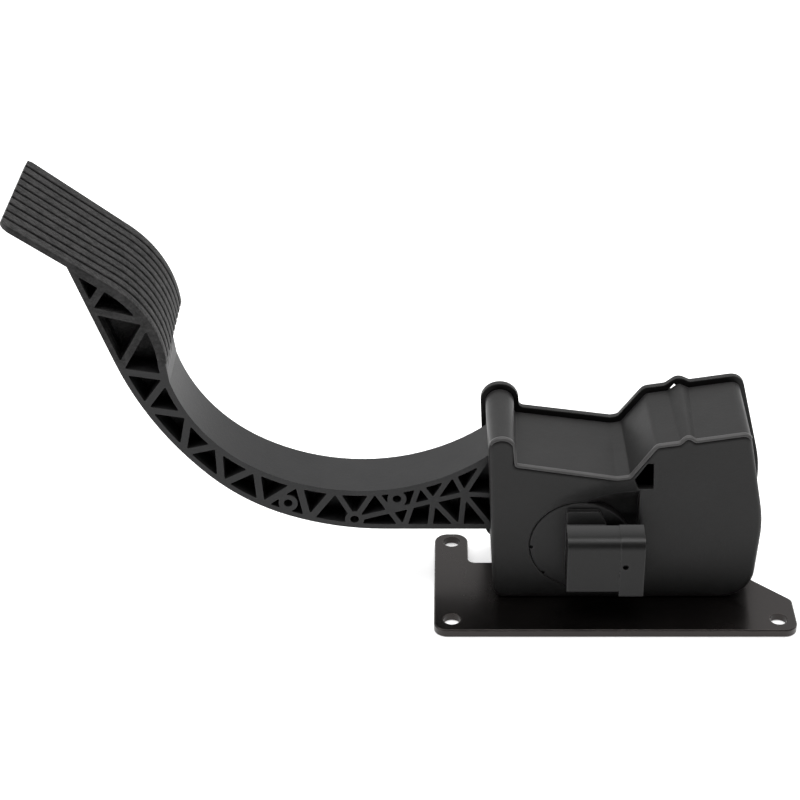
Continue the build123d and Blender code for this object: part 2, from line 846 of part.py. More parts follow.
def tread_ridge(number):
    """One ridge of the tread, narrowing towards the heel, with its long edges rounded."""
    groove = tread_groove / pad_width_tip / 2
    near = number / tread_ridges + (groove if number > 0 else 0.0)
    far = (number + 1) / tread_ridges - (groove if number + 1 < tread_ridges else 0.0)
    layer = slab(pad_band(0.0, (tread_height + pad_thickness) / 2), -overcut, pad_width_tip + overcut)
    ridge = layer & pad_plan(near, far, 0, 0)
    tops = [pad_point(pad_flat / 2, 0), pad_point(pad_middle, 0)]
    top_edges = [
        edge
        for edge in ridge.edges()
        for x, z in tops
        if edge.length > pad_flat / 2 and hypot((edge @ 0.5).X - x, (edge @ 0.5).Z - z) < tread_height / 2
    ]
    return fillet(top_edges, tread_round)


def make_pad():
    """Tread pad: a curved plate with ridges that draw together towards the heel."""
    pad = slab(pad_band(tread_height, pad_thickness), -overcut, pad_width_tip + overcut)
    for number in range(tread_ridges):
        pad += tread_ridge(number)
    return pad & pad_plan(0.0, 1.0, pad_corner_radius, pad_corner_radius)


def make_pedal_arm():
    """Arm, pad, hub and spring lever in one moulding, with the lattice opened from both sides."""
    arm = pivot_slab(arm_face(), arm_front, arm_back)
    pocket_depth = (arm_width - arm_web) / 2
    for cell in lattice_cells():
        arm -= pivot_slab(cell, arm_front - overcut, arm_front + pocket_depth)
        arm -= pivot_slab(cell, arm_back - pocket_depth, arm_back + overcut)
    for place in boss_places:
        hole = Pos(*between(*place)) * Circle(boss_hole_radius)
        arm -= pivot_slab(hole, arm_front - overcut, arm_back + overcut)
    arm += pivot_bar(hub_radius, hub_front, hub_back)
    arm += lever()
    arm += Pos(pivot_x, arm_front, pivot_z) * make_pad()
    arm += heel_ramp()
    for along in gusset_stations:
        arm += gusset(along)
    arm -= pivot_bar(shaft_radius + shaft_gap, hub_front - overcut, hub_back + overcut)
    return arm - spring_plane(-lever_thickness) * Cylinder(stub_radius + seat_gap, 3 * lever_thickness)


def lever():
    """Lever on the far side of the hub, with the flat that the lower spring seat lies on."""
    rise = tan(radians(chamber_tilt))
    left = seat_x - seat_radius - seat_margin
    right = seat_x + seat_radius
    outline = Polyline(
        (0, hub_radius),
        (left - lever_neck_length, seat_height + lever_neck_rise),
        (left, seat_height + (left - seat_x) * rise),
        (right, seat_height + (right - seat_x) * rise),
        (right, seat_height + (right - seat_x) * rise - lever_thickness),
        (0, -hub_radius),
        (0, hub_radius),
    )
    half = lever_width / 2
    return pivot_slab(make_face(outline), arm_middle - half, arm_middle + half)


def heel_ramp():
    """Small ramp from the end of the tread down to the top chord."""
    _, heel = chord_centres()
    low_angle = radians(heel_end + heel_ramp_turn)
    high_angle = radians(heel_end - heel_ramp_lead)
    inset = heel_radius + heel_ramp_sink
    start = pad_point(pad_length - weld, tread_height / 2)
    outline = Polyline(
        start,
        (heel[0] + heel_radius * cos(low_angle), heel[1] + heel_radius * sin(low_angle)),
        (heel[0] + inset * cos(low_angle), heel[1] + inset * sin(low_angle)),
        (heel[0] + inset * cos(high_angle), heel[1] + inset * sin(high_angle)),
        start,
    )
    return pivot_slab(make_face(outline), arm_front, arm_back)


def gusset(along):
    """Three-cornered stiffener under the pad's overhang, against the arm's back face."""
    heading = radians(pad_slope + max(0.0, degrees((along - pad_flat) / pad_curl_radius)))
    x, z = pad_point(along, pad_thickness - weld)
    plane = Plane(
        origin=(pivot_x + x, arm_back - weld, pivot_z + z),
        x_dir=(0, 1, 0),
        z_dir=(cos(heading), 0, -sin(heading)),
    )
    outline = make_face(Polyline((0, 0), (gusset_reach, 0), (0, -gusset_depth), (0, 0)))
    return extrude(plane * outline, amount=gusset_thickness / 2, both=True)


def make_rear_cover():
    """Back panel with a proud rim, a sunk field, the rear bush boss and four screw holes."""
    corners = grown(shell_corners(1.0), cover_rim, cover_rim_round)
    corners = [(x, max(z, plate_top + seat_gap), radius) for x, z, radius in corners]
    panel = slab(rounded_face(corners), joint_y, cover_back)
    panel = fillet(panel.faces().sort_by(Axis.Y)[-1].edges(), cover_edge_round)
    field = grown(shell_corners(1.0), cover_rim - cover_panel_margin)
    panel -= slab(rounded_face(field), cover_back - cover_panel_depth, cover_back + overcut)
    boss_back = cover_back + cover_boss_proud
    panel += pivot_bar(cover_boss_radius, rear_flange_y + bush_flange_thickness, boss_back)
    for x, z in cover_screw_places:
        panel += bar(x, z, cover_head_radius + cover_head_margin, joint_y, cover_back)
    panel -= pivot_bar(bush_radius + seat_gap, joint_y - housing_depth, boss_back + overcut)
    for x, z in cover_screw_places:
        panel -= bar(x, z, cover_screw_radius + 2 * screw_gap, joint_y - overcut, cover_back + overcut)
    latch_x = ridge_x - latch_inset
    latch = Rot(0, 0, latch_angle) * Rectangle(latch_length, latch_width)
    return panel - slab(latch, joint_y - overcut, cover_back + overcut, latch_x, roof_outside(latch_x))


def make_cover_screws():
    """Pan-head screws through the cover, each with a cross recess."""
    cross = Rectangle(recess_length, recess_width) + Rectangle(recess_width, recess_length)
    screws = []
    for x, z in cover_screw_places:
        head = bar(x, z, cover_head_radius, cover_back, cover_back + cover_head_height)
        head = fillet(head.faces().sort_by(Axis.Y)[-1].edges(), cover_head_height / 2)
        head -= slab(cross, cover_back + cover_head_height / 3, cover_back + 2 * cover_head_height, x, z)
        shank = bar(x, z, cover_screw_radius, joint_y - cover_screw_length + tip_room, cover_back)
        screws.append(head + shank)
    return screws


def make_bush(front, back, flange_front):
    """Plain bush with a flange that the hub runs against."""
    body = pivot_bar(bush_radius, front, back)
    body += pivot_bar(bush_flange_radius, flange_front, flange_front + bush_flange_thickness)
    return body - pivot_bar(shaft_radius + shaft_gap, front - overcut, back + overcut)


shaft_front = sensor_floor_y - seat_gap
shaft_back = cover_back + cover_boss_proud + shaft_overhang
clip_y = cover_back + cover_boss_proud + running_gap


def make_pivot_shaft():
    """Steel shaft with a slot for the rotor's tongue at the front and a clip groove at the back."""
    shaft = pivot_bar(shaft_radius, shaft_front, shaft_back)
    shaft = chamfer(shaft.edges().filter_by(GeomType.CIRCLE), shaft_chamfer)
    slot = Rectangle(3 * shaft_radius, tongue_width + 2 * seat_gap)
    shaft -= pivot_slab(slot, shaft_front - overcut, shaft_front + tongue_length + running_gap)
    groove = Circle(2 * shaft_radius) - Circle(shaft_radius - clip_groove_depth)
    shaft -= pivot_slab(groove, clip_y, clip_y + clip_thickness + seat_gap)
    return shaft


def make_shaft_clip():
    """Retaining clip with an open mouth, in the shaft's groove."""
    ring = Circle(clip_radius) - Circle(shaft_radius - clip_groove_depth + shaft_gap)
    ring -= Pos(0, -clip_radius) * Rectangle(clip_mouth, 2 * clip_radius)
    return pivot_slab(ring, clip_y + seat_gap / 2, clip_y + seat_gap / 2 + clip_thickness)


coil_low = seat_flange
coil_high = spring_room - seat_flange - seat_gap


def make_spring(coil_radius, wire, turns, left_handed):
    """Compression spring between the two seats."""
    height = coil_high - coil_low - wire - 2 * seat_gap
    path = Helix(height / turns, height, coil_radius, lefthand=left_handed)
    section = Plane(origin=path @ 0, z_dir=path % 0) * Circle(wire / 2)
    coil = sweep(section, path=path, is_frenet=True)
    return spring_plane(coil_low + wire / 2 + seat_gap) * coil


def seat_shape():
    """Spring seat drawn upwards from its flat side: flange, step for the coils and spigot."""
    up = (Align.CENTER, Align.CENTER, Align.MIN)
    seat = Cylinder(seat_radius, seat_flange, align=up)
    inner_room = inner_coil_radius - inner_wire / 2 - running_gap
    seat += Cylinder(inner_room, seat_flange + seat_spigot, align=up)
    return seat


def make_lower_spring_seat():
    """Seat on the lever, held by a stub in the lever's hole."""
    stub = Cylinder(stub_radius, stub_length, align=(Align.CENTER, Align.CENTER, Align.MAX))
    return spring_plane(0) * (seat_shape() + stub)


def make_upper_spring_seat():
    """The same seat turned over against the chamber's roof."""
    return spring_plane(spring_room - seat_gap) * Rot(180, 0, 0) * seat_shape()


def make_idle_stop_pad():
    """Rubber block in the arched post, just above the arm's nose."""
    low = plate_top + stop_bottom
    high = low + idle_pad_height
    lean = foot_inset * (plate_top + post_height - low) / post_height
    left = post_left + lean + housing_wall + seat_gap
    right = post_left + post_width - housing_wall - seat_gap
    half = idle_pad_width / 2
    pad = block((left, right), (arm_middle - half, arm_middle + half), (low, high))
    return fillet(pad.edges().filter_by(Axis.Y), idle_pad_height / 5)


def full_pad_top(x):
    """Height of the arm's underside at x when the pedal is fully down."""
    reach = (x - pivot_x + belly_height * sin(pressed)) / cos(pressed)
    return pivot_z + turned(reach, belly_height, pressed)[1]


def full_pad_bottom():
    """Height of the seat of the full-travel stop."""
    return full_pad_top(pivot_x + full_pad_x) - running_gap - full_pad_height


def full_pad_shape(gap=0.0):
    """Block under the arm, its top parallel to the arm's underside at full travel."""
    left = pivot_x + full_pad_x - full_pad_length / 2 - gap
    right = pivot_x + full_pad_x + full_pad_length / 2 + gap
    bottom = full_pad_bottom() - gap
    outline = Polyline(
        (left, bottom),
        (right, bottom),
        (right, full_pad_top(right) - running_gap),
        (left, full_pad_top(left) - running_gap),
        (left, bottom),
    )
    half = full_pad_width / 2 + gap
    return slab(make_face(outline), arm_middle - half, arm_middle + half)


socket_back = housing_front - socket_stand_off
socket_front = socket_back - socket_depth
socket_right = socket_left + socket_length
bore_left = socket_right - socket_bore_length
pin_middle_y = (socket_front + socket_back) / 2
pin_middle_z = socket_bottom + socket_height / 2
board_y = housing_front + sensor_wall + seat_gap
chip_y = board_y + board_thickness
magnet_y = chip_y + chip_thickness + magnet_air_gap
rotor_end_y = magnet_y + magnet_thickness + rotor_back


def pin_rows():
    """Heights of the pins, from the pivot."""
    first = pin_middle_z - pin_pitch * (pin_count - 1) / 2
    return [first + i * pin_pitch for i in range(pin_count)]


def pin_shape(z, gap=0.0):
    """Bent pin: a blade along the socket and a leg back to the board."""
    half = pin_width / 2 + gap
    leg_x = bore_left - 1.5 * pin_width
    blade = block(
        (pivot_x + leg_x - half, pivot_x + bore_left + pin_reach),
        (pin_middle_y - half, pin_middle_y + half),
        (pivot_z + z - half, pivot_z + z + half),
    )
    leg = block(
        (pivot_x + leg_x - half, pivot_x + leg_x + half),
        (pin_middle_y - half, chip_y + pin_tail),
        (pivot_z + z - half, pivot_z + z + half),
    )
    return blade + leg


def make_sensor_body():
    """Round cover with its cup and seal groove, the neck and the plug socket."""
    body = pivot_bar(sensor_radius, housing_front - sensor_proud, housing_front + sensor_flange - seat_gap)
    body = fillet(body.faces().sort_by(Axis.Y)[0].edges(), sensor_edge_round)
    body += pivot_bar(sensor_cup_radius, housing_front, sensor_back_y)
    neck_top = socket_bottom + socket_height + neck_rise
    neck = rounded_face([
        (socket_left, socket_bottom, neck_round),
        (socket_left + neck_length + neck_flare, socket_bottom, neck_round),
        (socket_left + neck_length + neck_flare, neck_top - neck_rise, neck_round),
        (socket_left + neck_length, neck_top, neck_round),
        (socket_left, neck_top, neck_round),
    ])
    body += pivot_slab(neck, socket_back, housing_front)
    body += socket_shell()
    inside = sensor_cup_radius - sensor_cup_wall
    body -= pivot_bar(inside, housing_front + sensor_wall, sensor_back_y + overcut)
    groove = Circle(2 * sensor_cup_radius) - Circle(sensor_cup_radius - seal_wire + seat_gap / 2)
    seal_y = housing_front + (sensor_flange + sensor_cup_depth) / 2
    half = seal_wire / 2 + seat_gap
    body -= pivot_slab(groove, seal_y - half, seal_y + half)
    body -= block(
        (pivot_x + bore_left, pivot_x + socket_right + overcut),
        (socket_front + socket_wall, socket_back - socket_wall),
        (pivot_z + socket_bottom + socket_wall, pivot_z + socket_bottom + socket_height - socket_wall),
    )
    for z in pin_rows():
        body -= pin_shape(z, screw_gap)
    stake_ring = sensor_radius - stake_radius / 2
    for angle in stake_angles:
        place = Pos(stake_ring * cos(radians(angle)), stake_ring * sin(radians(angle)))
        stake = place * Circle(stake_radius)
        body -= pivot_slab(stake, housing_front - overcut, housing_front + stake_radius)
    pip = Pos(socket_right - socket_collar + pip_inset, pin_middle_z + pip_rise) * Circle(pip_radius)
    body -= pivot_slab(pip, socket_front - overcut, socket_front + pip_radius)
    return body


def socket_shell():
    """Outside of the plug socket: a rounded block with a proud collar round its open end."""
    x = (pivot_x + socket_left, pivot_x + socket_right)
    z = (pivot_z + socket_bottom, pivot_z + socket_bottom + socket_height)
    shell = rounded_block(x, socket_front, z, socket_round)
    collar_x = (x[1] - socket_collar, x[1])
    collar_z = (z[0] - socket_lip, z[1] + collar_proud)
    return shell + rounded_block(collar_x, socket_front - collar_proud, collar_z, socket_round + collar_proud)


def rounded_block(x, front, z, top_round):
    """Block in front of the sensor, with its upper and lower front edges rounded."""
    side = Plane(origin=(x[0], 0, 0), x_dir=(0, 1, 0), z_dir=(1, 0, 0))
    outline = FilletPolyline(
        (front, z[0]),
        (socket_back, z[0]),
        (socket_back, z[1]),
        (front, z[1]),
        radius=[lip_round, 0, 0, top_round],
        close=True,
    )
    return extrude(side * make_face(outline), amount=x[1] - x[0])


def make_sensor_board():
    """Round circuit board in the sensor, with holes for the pins."""
    radius = sensor_cup_radius - sensor_cup_wall - running_gap
    board = pivot_bar(radius, board_y, chip_y)
    for z in pin_rows():
        board -= pin_shape(z, screw_gap)
    return board


def make_sensor_chips():
    """Two position-sensing chips on the back of the board."""
    chips = []
    for side in (-1, 1):
        place = Pos(side * (chip_size / 2 + running_gap), 0) * Rectangle(chip_size, chip_size)
        chips.append(pivot_slab(place, chip_y, chip_y + chip_thickness))
    return chips


def make_sensor_rotor():
    """Turning cup for the magnet, with a tongue that the shaft drives."""
    rotor = pivot_bar(rotor_radius, magnet_y, rotor_end_y)
    tongue = Rectangle(2 * (shaft_radius - tongue_inset), tongue_width)
    rotor += pivot_slab(tongue, rotor_end_y - weld, shaft_front + tongue_length)
    return rotor - pivot_bar(magnet_radius + seat_gap / 2, magnet_y - overcut, magnet_y + magnet_thickness)


def make_sensor_seal():
    """O-ring in the groove of the sensor's cup."""
    seal_y = housing_front + (sensor_flange + sensor_cup_depth) / 2
    return depth_plane(seal_y, pivot_x, pivot_z) * Torus(
        sensor_cup_radius - seal_wire / 2 + seat_gap / 2, seal_wire / 2 - seat_gap / 2
    )


pieces = {
    "mounting_plate": make_mounting_plate(),
    "front_housing": make_front_housing(),
    "rear_cover": make_rear_cover(),
    "cover_screws": make_cover_screws(),
    "plate_screws": make_plate_screws(),
    "threaded_inserts": make_threaded_inserts(),
    "pedal_arm": make_pedal_arm(),
    "pivot_shaft": make_pivot_shaft(),
    "front_bush": make_bush(sensor_floor_y, front_flange_y + bush_flange_thickness, front_flange_y),
    "rear_bush": make_bush(rear_flange_y, cover_back + cover_boss_proud, rear_flange_y),
    "shaft_clip": make_shaft_clip(),
    "outer_spring": make_spring(outer_coil_radius, outer_wire, outer_turns, False),
    "inner_spring": make_spring(inner_coil_radius, inner_wire, inner_turns, True),
    "upper_spring_seat": make_upper_spring_seat(),
    "lower_spring_seat": make_lower_spring_seat(),
    "idle_stop_pad": make_idle_stop_pad(),
    "full_stop_pad": full_pad_shape(),
    "sensor_body": make_sensor_body(),
    "sensor_rotor": make_sensor_rotor(),
    "rotor_magnet": pivot_bar(magnet_radius, magnet_y, magnet_y + magnet_thickness - seat_gap / 2),
    "sensor_board": make_sensor_board(),
    "sensor_chips": make_sensor_chips(),
    "connector_pins": [pin_shape(z) for z in pin_rows()],
    "sensor_seal": make_sensor_seal(),
}

os.makedirs("parts", exist_ok=True)
for name, piece in pieces.items():
    if isinstance(piece, list):
        piece = Compound([solid for item in piece for solid in item.solids()])
    export_step(piece, f"parts/{name}.step")
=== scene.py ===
import math

import bpy
from mathutils import Matrix, Vector


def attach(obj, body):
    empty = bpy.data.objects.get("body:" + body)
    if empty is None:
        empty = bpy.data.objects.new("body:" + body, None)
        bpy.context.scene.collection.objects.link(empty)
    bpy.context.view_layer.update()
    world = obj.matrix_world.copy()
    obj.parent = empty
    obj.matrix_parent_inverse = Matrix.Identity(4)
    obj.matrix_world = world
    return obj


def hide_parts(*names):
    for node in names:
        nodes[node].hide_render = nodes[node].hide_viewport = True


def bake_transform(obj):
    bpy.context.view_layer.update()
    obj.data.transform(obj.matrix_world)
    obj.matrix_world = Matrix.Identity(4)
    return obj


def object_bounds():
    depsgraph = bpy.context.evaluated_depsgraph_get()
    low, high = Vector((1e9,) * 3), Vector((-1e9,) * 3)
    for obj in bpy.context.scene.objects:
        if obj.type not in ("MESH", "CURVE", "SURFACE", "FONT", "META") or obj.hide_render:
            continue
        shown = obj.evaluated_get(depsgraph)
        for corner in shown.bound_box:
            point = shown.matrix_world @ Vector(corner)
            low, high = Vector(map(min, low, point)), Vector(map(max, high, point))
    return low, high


# Accelerator pedal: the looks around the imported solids. Lengths are metres and the frame is the
# model's own: +X along the plate away from the tread, +Y to the back cover, +Z off the mounting face.
# Where a value is a pair and its comment says no more, it is the start and the end of a fade.

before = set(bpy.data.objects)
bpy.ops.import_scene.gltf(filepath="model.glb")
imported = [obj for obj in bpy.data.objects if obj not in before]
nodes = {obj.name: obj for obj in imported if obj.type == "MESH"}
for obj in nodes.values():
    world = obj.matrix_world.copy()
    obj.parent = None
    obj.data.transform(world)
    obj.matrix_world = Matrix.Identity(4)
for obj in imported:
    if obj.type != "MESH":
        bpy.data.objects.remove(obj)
cad_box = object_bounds()
scene = bpy.context.scene

MM = 0.001
BLACK = (0.0, 0.0, 0.0)
WHITE = (1.0, 1.0, 1.0)

# Camera at the photograph's angle
CAMERA_PLACE = (-0.06741, -0.63480, 0.49705)
CAMERA_TILT = 58.5
CAMERA_SENSOR = 36.0
CAMERA_LENS = 88.12
CAMERA_SHIFT = -0.0625
CAMERA_NEAR = 0.01

# Studio: the surroundings brighten from front to back, and each light has a place, a size and a power
GLOW_DEPTH = (-0.7, 0.7)
GLOW_STRENGTH = (0.05, 1.08)
LIGHT_AIM = (-0.08, 0.03, 0.06)
LIGHTS = {
    "top_light": ((-0.10, 0.15, 1.3), (2.4, 1.8), 16.0),
    "edge_light": ((-0.02, -0.05, 1.2), (0.5, 0.5), 4.0),
    "left_light": ((-1.2, -0.5, 0.8), (0.8, 0.8), 3.5),
    "right_light": ((1.1, 0.5, 0.7), (0.6, 0.8), 2.0),
}
FLOOR_REACH = 4.0
FLOOR_LEVEL = -0.0004
FLOOR_COLOUR = (0.93, 0.93, 0.93)
FLOOR_ROUGHNESS = 0.9
FLOOR_GLOSS = 0.1
FLOOR_GLOW = 0.48

# Shared effects: where noise mostly falls, the two sizes of grain, and how wear and dust break up
NOISE_MIDDLE = (0.3, 0.7)
GRAIN_COARSER = 0.35
GRAIN_FINE_SHARE = 0.6
WEAR_TURN = (0.99, 0.80)
WEAR_PATCHES = (0.35, 0.65, 0.25, 1.0)
DUST_TURN = (0.2, 1.0)
DUST_PATCHES = (0.3, 0.75, 0.2, 1.0)

# All plastic and metal: gloss, how far edges look rounded, and how roughness varies
PLASTIC_GLOSS = 0.24
PLASTIC_WEAR_WIDTH = 0.0009
PLASTIC_UNEVEN = 0.05
PLASTIC_POLISH = 0.22
PLASTIC_DUST = (0.30, 0.29, 0.28)
METAL_WEAR_WIDTH = 0.0005
METAL_UNEVEN = 0.07
METAL_BRIGHTER = 1.25
EDGE_ROUNDING = 0.0004
METAL_ROUNDING = 0.0002
HOUSING_ROUNDING = 0.0010

# Mounting plate's black coat, the steel rubbed bare on its edges, and its dust
PLATE_COAT = ((0.0010, 0.0009, 0.0009), (0.0022, 0.0019, 0.0018))
PLATE_BARE = (0.16, 0.14, 0.13)
PLATE_DUST = (0.22, 0.19, 0.17)
PLATE_WEAR = 0.55
PLATE_ROUGHNESS = (0.20, 0.30)
PLATE_GLOSS = 0.42
PLATE_TINT = (1.0, 0.90, 0.87)

# Stop rubber and circuit board, each from its darker to its paler mottle
RUBBER_COLOURS = ((0.014, 0.014, 0.014), (0.035, 0.035, 0.036))
RUBBER_ROUGHNESS = (0.65, 0.85)
BOARD_COLOURS = ((0.010, 0.11, 0.045), (0.016, 0.15, 0.060))
BOARD_ROUGHNESS = (0.28, 0.40)

# Hollow above the plug socket, in X and Z, with fades in shares of its spread, and the painted shade that
# darkens the front face round its upper edge
HOLLOW_CENTRE = (0.0087, 0.0458)
HOLLOW_SPREAD = (0.024, 0.011)
HOLLOW_EDGE = (0.3, 0.6)
HOLLOW_FALL = (0.95, 1.55)
HOLLOW_RIGHT = (0.0070, 0.0082)
HOLLOW_BACK = (0.019, 0.021)
HOLLOW_ROUNDING = 0.009
HOLLOW_PAINTED_SHADE = 0.62
HOLLOW_DULL = 0.6
FRONT_FACE = (0.01402, 0.0142)

# Round seat of the sensor, in X and Z, and the clear ring round it in shares of its radius
SENSOR_CENTRE = (-0.0143, 0.0303)
SENSOR_RADIUS = 0.0206
SENSOR_CLEAR = (1.08, 1.2)

# Plug socket's top, painted paler towards its back as a highlight, from its front to its back
SOCKET_TOP = (0.0411, 0.0415)
SOCKET_NECK = (0.0422, 0.0423)
SOCKET_DEPTH = (0.0035, 0.0115)
SOCKET_BACK = (0.0117, 0.0119)
SOCKET_HIGHLIGHT = (0.25, 1.0)

# Tread: its ends, its near side, its widths at tip and heel, its ridges and the part that curls over
TREAD_TIP = -0.2360
TREAD_HEEL = -0.1784
TREAD_SIDE = 0.026
TREAD_WIDTHS = (0.057, 0.051)
TREAD_RIDGES = 10
TREAD_CURL = (-0.198, -0.184)
TREAD_BOTTOM = (0.104, 0.110)
TREAD_FACING = (0.77, 0.0, 0.64)
TREAD_TURNED = (-0.3, 0.1)
TREAD_WOBBLE = 0.0003
TREAD_WOBBLE_SCALE = 260.0

# Tread's finish: bare margin at its sides in shares of a ridge, bow of a ridge on the flat and on the
# curl, and grooves with painted light that lifts their shade on the flat and painted shade on the curl
TREAD_MARGIN = (0.3, 0.5)
TREAD_BOWS = (0.3, 1.6)
TREAD_SPECKLE = (0.38, 0.62)
TREAD_COLOURS = ((0.002, 0.0019, 0.0019), (0.024, 0.023, 0.023))
TREAD_GRAIN = 3.2
TREAD_ROUGHNESS = 0.62
GROOVE_FADE = (0.0, 0.5)
GROOVE_SHARE = 0.95
GROOVE_PAINTED_LIGHT_AND_SHADE = ((0.05, 0.048, 0.048), BLACK)
GROOVE_DULL = 0.35

# Arm's finish outside the tread
ARM_COLOURS = ((0.011, 0.011, 0.0115), (0.015, 0.015, 0.0155))
ARM_WORN = (0.07, 0.07, 0.07)
ARM_WEAR = 0.35
ARM_DUST = (0.26, 0.25, 0.25)
ARM_GRAIN = 0.25
ARM_ROUGHNESS = 0.46

# Bead along the housing's upper front edge
BEAD_MIDDLE = 15.3 * MM
BEAD_HALF = 1.2 * MM
BEAD_RISE = 0.7 * MM
BEAD_ROOT = 0.4 * MM
BEAD_SIDES = 8
BEAD_STEP = 0.5 * MM
BEAD_LOWEST = 50.0 * MM
BEAD_STEEPEST = 0.3

# Return springs, as they stand at rest
SPRING_FOOT = Vector((0.0375, 0.038, 0.0202))
SPRING_TILT = math.radians(9.1)
COIL_LOW = 1.6 * MM
COIL_HIGH = 55.54 * MM
COIL_GAP = 0.1 * MM
COIL_START = math.pi / 2
COIL_RINGS = 36
WIRE_SIDES = 12


def opaque(colour):
    """Red, green and blue as a colour socket takes them."""
    return (*colour, 1.0)


class Sketch:
    """Small helper that adds and joins nodes in one node tree."""

    MIX_SHARE = 0
    MIX_COLOURS = (6, 7)
    MIX_RESULT = 2

    def __init__(self, tree):
        self.tree = tree

    def node(self, kind, **settings):
        made = self.tree.nodes.new(kind)
        for key, value in settings.items():
            setattr(made, key, value)
        return made

    def join(self, source, target):
        self.tree.links.new(source, target)

    def feed(self, socket, value):
        """Joins a socket to another one, or sets its plain value."""
        if isinstance(value, bpy.types.NodeSocket):
            self.join(value, socket)
        else:
            socket.default_value = value

    def split(self, vector):
        """X, Y and Z of a vector."""
        made = self.node("ShaderNodeSeparateXYZ")
        self.join(vector, made.inputs[0])
        return made.outputs

    def place(self):
        """Point on the piece, in the model's frame."""
        return self.node("ShaderNodeTexCoord").outputs["Object"]

    def math(self, operation, first, second=0.0, clamp=False):
        made = self.node("ShaderNodeMath", operation=operation, use_clamp=clamp)
        self.feed(made.inputs[0], first)
        self.feed(made.inputs[1], second)
        return made.outputs[0]

    def add(self, first, second):
        return self.math("ADD", first, second)

    def less(self, first, second):
        return self.math("SUBTRACT", first, second)

    def times(self, first, *others):
        for other in others:
            first = self.math("MULTIPLY", first, other)
        return first

    def dot(self, first, second):
        made = self.node("ShaderNodeVectorMath", operation="DOT_PRODUCT")
        self.feed(made.inputs[0], first)
        self.feed(made.inputs[1], second)
        return made.outputs["Value"]

    def noise(self, vector, scale, detail=2.0, roughness=0.5):
        made = self.node("ShaderNodeTexNoise")
        self.feed(made.inputs["Vector"], vector)
        self.feed(made.inputs["Scale"], scale)
        made.inputs["Detail"].default_value = detail
        made.inputs["Roughness"].default_value = roughness
        return made.outputs["Fac"]

    def remap(self, value, low, high, new_low, new_high):
        made = self.node("ShaderNodeMapRange")
        for name, amount in zip(
            ("Value", "From Min", "From Max", "To Min", "To Max"),
            (value, low, high, new_low, new_high),
        ):
            self.feed(made.inputs[name], amount)
        return made.outputs["Result"]

    def rise(self, value, fade):
        """0 before a fade and 1 after it."""
        return self.remap(value, *fade, 0.0, 1.0)

    def fall(self, value, fade):
        """1 before a fade and 0 after it."""
        return self.remap(value, *fade, 1.0, 0.0)

    def between(self, share, low, high):
        """From a low to a high value as a share goes from 0 to 1."""
        return self.remap(share, 0.0, 1.0, low, high)

    def blend(self, share, first, second):
        """Mix of two colours, each a socket or plain red, green and blue."""
        made = self.node("ShaderNodeMix", data_type="RGBA")
        self.feed(made.inputs[self.MIX_SHARE], share)
        for index, colour in zip(self.MIX_COLOURS, (first, second)):
            self.feed(made.inputs[index], opaque(colour) if isinstance(colour, tuple) else colour)
        return made.outputs[self.MIX_RESULT]


def start_material(name):
    """Material with a sketch of its tree and the inputs of its Principled shader."""
    material = bpy.data.materials.new(name)
    material.use_nodes = True
    sketch = Sketch(material.node_tree)
    return material, sketch, material.node_tree.nodes["Principled BSDF"].inputs


def place_camera():
    """Camera with a long lens, tilted down and shifted to the photograph's framing."""
    data = bpy.data.cameras.new("camera")
    data.sensor_width = CAMERA_SENSOR
    data.lens = CAMERA_LENS
    data.shift_x = CAMERA_SHIFT
    data.clip_start = CAMERA_NEAR
    camera = bpy.data.objects.new("camera", data)
    camera.location = CAMERA_PLACE
    camera.rotation_euler = (math.radians(CAMERA_TILT), 0.0, 0.0)
    scene.collection.objects.link(camera)
    scene.camera = camera


def softbox(name, place, size, power):
    """Rectangular area light that faces the part."""
    data = bpy.data.lights.new(name, "AREA")
    data.shape = "RECTANGLE"
    data.size, data.size_y = size
    data.energy = power
    light = bpy.data.objects.new(name, data)
    light.location = place
    toward = Vector(LIGHT_AIM) - Vector(place)
    light.rotation_euler = toward.to_track_quat("-Z", "Y").to_euler()
    scene.collection.objects.link(light)


def light_studio():
    """White surroundings, brighter behind the part, with two top lights and two side lights."""
    world = bpy.data.worlds.new("studio")
    world.use_nodes = True
    sketch = Sketch(world.node_tree)
    toward = sketch.split(sketch.node("ShaderNodeTexCoord").outputs["Generated"])
    background = world.node_tree.nodes["Background"].inputs
    background["Color"].default_value = opaque(WHITE)
    sketch.join(sketch.remap(toward["Y"], *GLOW_DEPTH, *GLOW_STRENGTH), background["Strength"])
    scene.world = world
    for name, (place, size, power) in LIGHTS.items():
        softbox(name, place, size, power)
    scene.view_settings.view_transform = "Standard"


def lay_floor():
    """Pale sheet that the mounting plate stands on."""
    mesh = bpy.data.meshes.new("pale_floor")
    signs = ((-1, -1), (1, -1), (1, 1), (-1, 1))
    corners = [(x * FLOOR_REACH, y * FLOOR_REACH, FLOOR_LEVEL) for x, y in signs]
    mesh.from_pydata(corners, [], [(0, 1, 2, 3)])
    floor = bpy.data.objects.new("pale_floor", mesh)
    scene.collection.objects.link(floor)
    material, _, shader = start_material("pale_paper")
    shader["Base Color"].default_value = opaque(FLOOR_COLOUR)
    shader["Roughness"].default_value = FLOOR_ROUGHNESS
    shader["Specular IOR Level"].default_value = FLOOR_GLOSS
    shader["Emission Color"].default_value = opaque(WHITE)
    shader["Emission Strength"].default_value = FLOOR_GLOW
    mesh.materials.append(material)


# Shader node groups: what more than one finish uses


def start_group(name, inputs, outputs):
    """Empty node group with float inputs (name, default) and float outputs."""
    tree = bpy.data.node_groups.new(name, "ShaderNodeTree")
    for label, value in inputs:
        socket = tree.interface.new_socket(name=label, in_out="INPUT", socket_type="NodeSocketFloat")
        socket.default_value = value
    for label in outputs:
        tree.interface.new_socket(name=label, in_out="OUTPUT", socket_type="NodeSocketFloat")
    sketch = Sketch(tree)
    return sketch, sketch.node("NodeGroupInput").outputs, sketch.node("NodeGroupOutput").inputs


